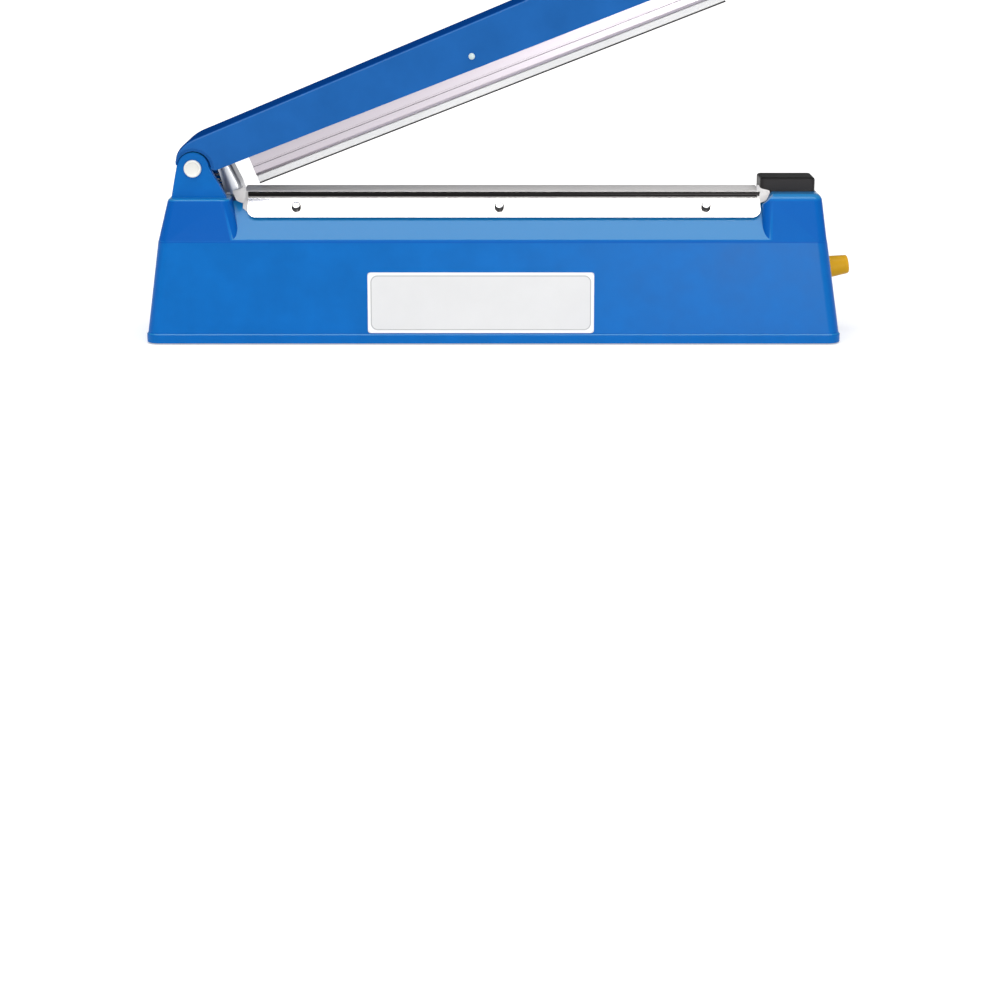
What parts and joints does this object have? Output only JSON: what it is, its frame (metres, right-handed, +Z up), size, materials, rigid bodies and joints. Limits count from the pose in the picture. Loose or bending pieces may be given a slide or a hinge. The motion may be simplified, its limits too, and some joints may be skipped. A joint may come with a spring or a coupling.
{
  "type": "hand impulse sealer",
  "caption": "Hand impulse sealer: a spring-lifted hinged arm with a floating press bar closes over a long heated bed, with a switch button under its end and a timer knob.",
  "frame": {"origin": "under the middle of the whole object, on the surface that the feet stand on", "axes": "+X from the hinge end towards the switch and the handle, +Y away from the labelled front, +Z up"},
  "size_m": [0.4292, 0.08, 0.2687],
  "materials": {
    "base_plastic": "satin moulded plastic",
    "arm_plastic": "satin moulded plastic",
    "black_plastic": "fine-grained moulded plastic",
    "cream_plastic": "smooth",
    "knob_plastic": "smooth",
    "bar_aluminium": "anodised extrusion",
    "bright_plate": "bright polished",
    "plain_steel": "zinc plated",
    "brass": "turned",
    "winding": "enamelled copper wire",
    "white_silicone": "smooth",
    "dark_tape": "coated glass cloth",
    "cover_cloth": "coated glass cloth",
    "label_film": "smooth film",
    "black_rubber": "matt",
    "board": "circuit board"
  },
  "bodies": {
    "base": {"base_shell": "base_plastic", "bottom_plate": "plain_steel", "foot_front_left": "black_rubber", "foot_front_right": "black_rubber", "foot_back_left": "black_rubber", "foot_back_right": "black_rubber", "foot_front_left_screw": "plain_steel", "foot_front_right_screw": "plain_steel", "foot_back_left_screw": "plain_steel", "foot_back_right_screw": "plain_steel", "sealing_bed": "bar_aluminium", "terminal_left": "brass", "terminal_right": "brass", "insulation_strip": "dark_tape", "heating_element": "plain_steel", "cover_cloth": "cover_cloth", "clip_plate_front": "bright_plate", "clip_plate_back": "bright_plate", "clip_screw_front_1": "plain_steel", "clip_screw_front_2": "plain_steel", "clip_screw_front_3": "plain_steel", "clip_screw_back_1": "plain_steel", "clip_screw_back_2": "plain_steel", "clip_screw_back_3": "plain_steel", "hinge_pin": "plain_steel", "hinge_cap_front": "cream_plastic", "hinge_cap_back": "cream_plastic", "spring_guard": "bright_plate", "guard_screw": "plain_steel", "lift_spring": "plain_steel", "button_spring": "plain_steel", "microswitch": "black_plastic", "timer_potentiometer": "plain_steel", "timer_nut": "plain_steel", "transformer_core": "plain_steel", "transformer_winding": "winding", "transformer_strap": "plain_steel", "control_board": "board", "cord_gland": "black_rubber", "front_label": "label_film"},
    "arm": {"arm_shell": "arm_plastic", "handle": "black_plastic", "handle_screw_1": "plain_steel", "handle_screw_2": "plain_steel", "bar_bracket": "plain_steel", "pivot_rivet_front": "plain_steel", "pivot_rivet_back": "plain_steel"},
    "press_bar": {"press_bar": "bar_aluminium", "silicone_strip": "white_silicone", "facing_tape": "dark_tape", "bar_stud_1": "plain_steel", "bar_stud_2": "plain_steel", "bar_spring_1": "plain_steel", "bar_spring_2": "plain_steel"},
    "switch_button": {"switch_button": "black_plastic", "button_ring": "plain_steel"},
    "switch_plunger": {"switch_plunger": "cream_plastic"},
    "timer_knob": {"timer_knob": "knob_plastic", "timer_shaft": "plain_steel"}
  },
  "joints": [
    {"name": "arm_hinge", "type": "hinge", "parent": "base", "child": "arm", "pos_m": [-0.1849, 0, 0.1038], "axis": [0, 1, 0], "range_deg": [0, 21.1], "stiffness_Nm_per_rad": 4, "springref_deg": -28.65, "deforming": ["lift_spring"]},
    {"name": "press_bar_slide", "type": "slide", "parent": "arm", "child": "press_bar", "axis": [-0.36, 0, 0.933], "range_m": [0, 0.0102], "deforming": ["bar_spring_1", "bar_spring_2"]},
    {"name": "switch_button_press", "type": "slide", "parent": "base", "child": "switch_button", "axis": [0, 0, -1], "range_m": [0, 0.0013], "stiffness_N_per_m": 400, "springref_m": -0.002, "deforming": ["button_spring"]},
    {"name": "switch_plunger_slide", "type": "slide", "parent": "base", "child": "switch_plunger", "axis": [0, 0, -1], "range_m": [0, 0.0013]},
    {"name": "timer_knob_turn", "type": "hinge", "parent": "base", "child": "timer_knob", "pos_m": [0.19943, 0, 0.0404], "axis": [0.9885, 0, 0.1511], "range_deg": [0, 270]}
  ],
  "couplings": [
    {"joint": "press_bar_slide", "follows": "arm_hinge", "m_per_rad": 0.02769},
    {"joint": "switch_plunger_slide", "follows": "switch_button_press", "ratio": 1}
  ]
}
